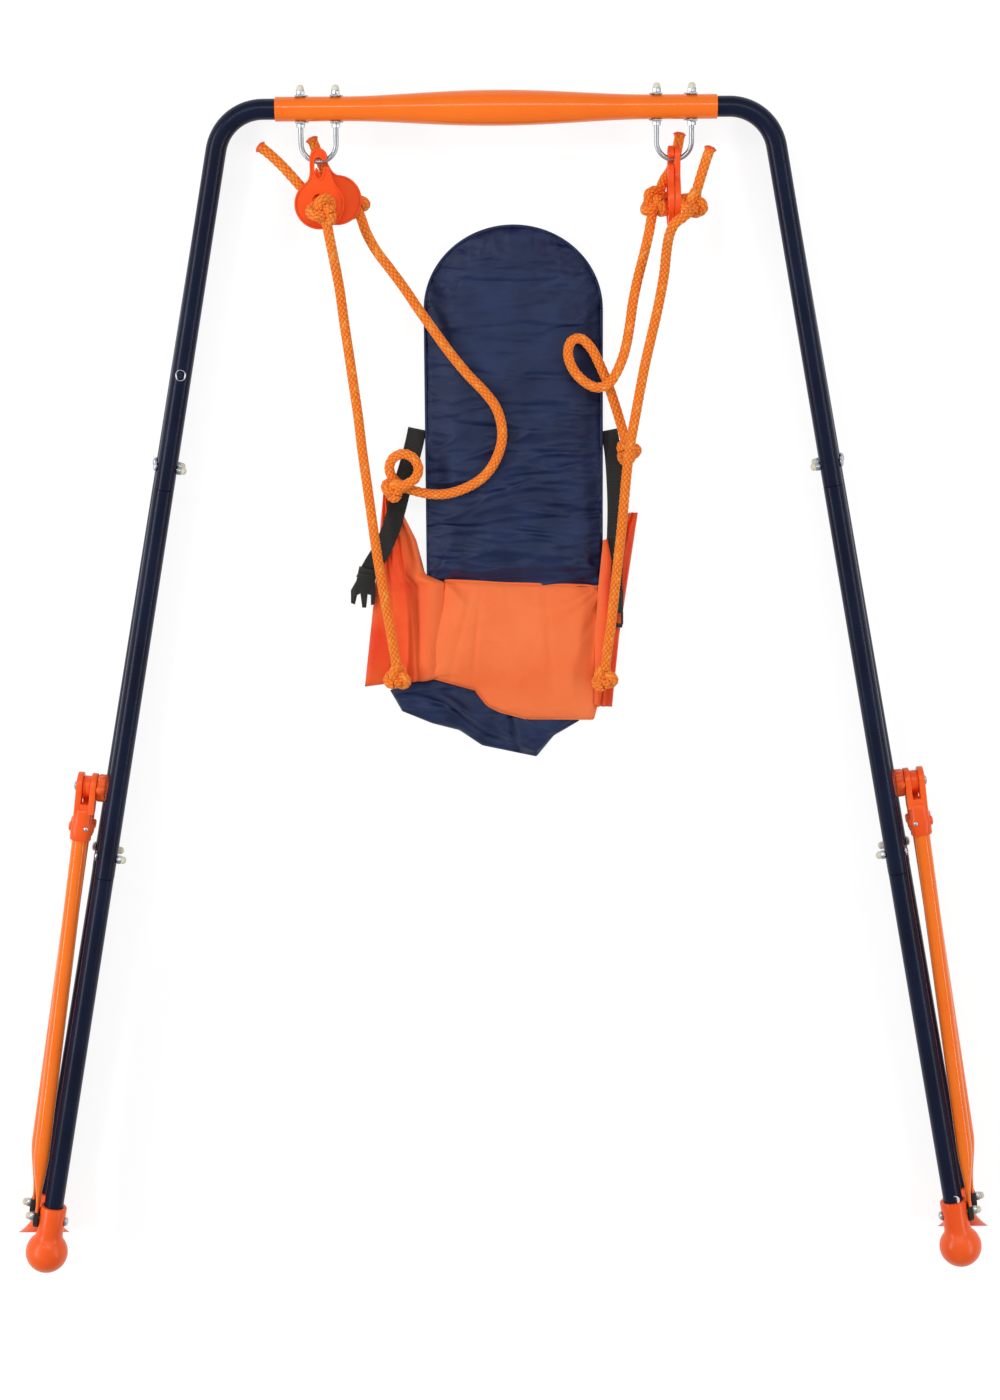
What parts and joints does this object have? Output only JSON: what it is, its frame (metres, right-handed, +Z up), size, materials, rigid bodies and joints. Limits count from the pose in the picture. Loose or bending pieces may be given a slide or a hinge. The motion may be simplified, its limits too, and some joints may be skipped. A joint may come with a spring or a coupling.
{
  "type": "folding toddler swing",
  "caption": "Folding steel swing frame with side braces and a padded fabric bucket seat hung on ropes, folded flat.",
  "frame": {"origin": "middle of the folded swing's box, on the ground it lies on", "axes": "+X across the swing to the right as pictured, +Y along the folded frame from the feet to the top bar, +Z up from the rear frame to the front frame"},
  "size_m": [1.2648, 1.4989, 0.1139],
  "materials": {
    "navy_paint": "navy gloss powder coat",
    "orange_paint": "orange gloss powder coat",
    "orange_plastic": "moulded orange plastic",
    "hook_plastic": "moulded red orange plastic",
    "zinc": "zinc plated steel",
    "rope": "braided orange rope with yellow flecks",
    "orange_cloth": "woven orange nylon",
    "navy_cloth": "woven navy nylon with piping",
    "black_webbing": "woven black webbing",
    "black_plastic": "moulded black plastic"
  },
  "bodies": {
    "rear_frame": {"rear_bar_sleeve": "orange_paint", "rear_bend_left": "navy_paint", "rear_bend_right": "navy_paint", "rear_foot_bolt_left": "zinc", "rear_foot_bolt_right": "zinc", "rear_foot_left": "orange_plastic", "rear_foot_right": "orange_plastic", "rear_lower_bolt_left": "zinc", "rear_lower_bolt_right": "zinc", "rear_lower_tube_left": "navy_paint", "rear_lower_tube_right": "navy_paint", "rear_middle_tube_left": "navy_paint", "rear_middle_tube_right": "navy_paint", "rear_upper_bolt_left": "zinc", "rear_upper_bolt_right": "zinc"},
    "front_frame": {"front_bar_sleeve": "orange_paint", "front_bend_left": "navy_paint", "front_bend_right": "navy_paint", "front_foot_bolt_left": "zinc", "front_foot_bolt_right": "zinc", "front_foot_left": "orange_plastic", "front_foot_right": "orange_plastic", "front_lower_bolt_left": "zinc", "front_lower_bolt_right": "zinc", "front_lower_tube_left": "navy_paint", "front_lower_tube_right": "navy_paint", "front_middle_tube_left": "navy_paint", "front_middle_tube_right": "navy_paint", "front_upper_bolt_left": "zinc", "front_upper_bolt_right": "zinc", "hanger_bolt_left": "zinc", "hanger_bolt_right": "zinc", "hinge_bracket_left": "zinc", "hinge_bracket_right": "zinc"},
    "rear_brace_left": {"hinge_tongue_left": "orange_plastic", "rear_strut_left": "orange_paint"},
    "front_brace_left": {"front_strut_left": "orange_paint", "hinge_fork_left": "orange_plastic"},
    "clamp_knob_left": {"hinge_knob_left": "orange_plastic"},
    "rear_brace_right": {"hinge_tongue_right": "orange_plastic", "rear_strut_right": "orange_paint"},
    "front_brace_right": {"front_strut_right": "orange_paint", "hinge_fork_right": "orange_plastic"},
    "clamp_knob_right": {"hinge_knob_right": "orange_plastic"},
    "seat": {"backrest_pad": "navy_cloth", "front_guard": "navy_cloth", "left_buckle": "black_plastic", "left_hook_back": "hook_plastic", "left_hook_front": "hook_plastic", "left_side_panel": "orange_cloth", "left_webbing": "black_webbing", "right_hook_inner": "hook_plastic", "right_hook_outer": "hook_plastic", "right_side_panel": "orange_cloth", "right_webbing": "black_webbing", "rope_left_front": "rope", "rope_left_rear": "rope", "rope_right_front": "rope", "rope_right_rear": "rope", "seat_cushion": "orange_cloth"}
  },
  "joints": [
    {"name": "frame_fold", "type": "hinge", "parent": "rear_frame", "child": "front_frame", "pos_m": [0, 0.72062, 0.02089], "axis": [-1, 0, 0], "range_deg": [0, 46.1]},
    {"name": "rear_strut_hinge_left", "type": "hinge", "parent": "rear_frame", "child": "rear_brace_left", "pos_m": [-0.61228, -0.67526, 0.02968], "axis": [0.9829, -0.1839, 0.0012], "range_deg": [0, 60.22]},
    {"name": "brace_hinge_left", "type": "hinge", "parent": "rear_brace_left", "child": "front_brace_left", "pos_m": [-0.51863, -0.1116, 0.05813], "axis": [-0.994, 0.1097, -0.0007], "range_deg": [0, 169.36]},
    {"name": "clamp_knob_turn_left", "type": "hinge", "parent": "front_brace_left", "child": "clamp_knob_left", "pos_m": [-0.51863, -0.1116, 0.05813], "axis": [0.994, -0.1097, 0.0007], "range_deg": [0, 180]},
    {"name": "rear_strut_hinge_right", "type": "hinge", "parent": "rear_frame", "child": "rear_brace_right", "pos_m": [0.61228, -0.67526, 0.02968], "axis": [0.9829, 0.1839, -0.0012], "range_deg": [0, 60.22]},
    {"name": "brace_hinge_right", "type": "hinge", "parent": "rear_brace_right", "child": "front_brace_right", "pos_m": [0.51863, -0.1116, 0.05813], "axis": [-0.994, -0.1097, 0.0007], "range_deg": [0, 169.36]},
    {"name": "clamp_knob_turn_right", "type": "hinge", "parent": "front_brace_right", "child": "clamp_knob_right", "pos_m": [0.51863, -0.1116, 0.05813], "axis": [-0.994, -0.1097, 0.0007], "range_deg": [0, 180]},
    {"name": "seat_swing", "type": "hinge", "parent": "front_frame", "child": "seat", "pos_m": [0, 0.65894, 0.07128], "axis": [1, 0, 0], "range_deg": [-14, 60]}
  ],
  "couplings": [
    {"joint": "rear_strut_hinge_left", "follows": "frame_fold", "ratio": 1.3058},
    {"joint": "brace_hinge_left", "follows": "frame_fold", "ratio": 3.6733},
    {"joint": "rear_strut_hinge_right", "follows": "frame_fold", "ratio": 1.3058},
    {"joint": "brace_hinge_right", "follows": "frame_fold", "ratio": 3.6733}
  ]
}
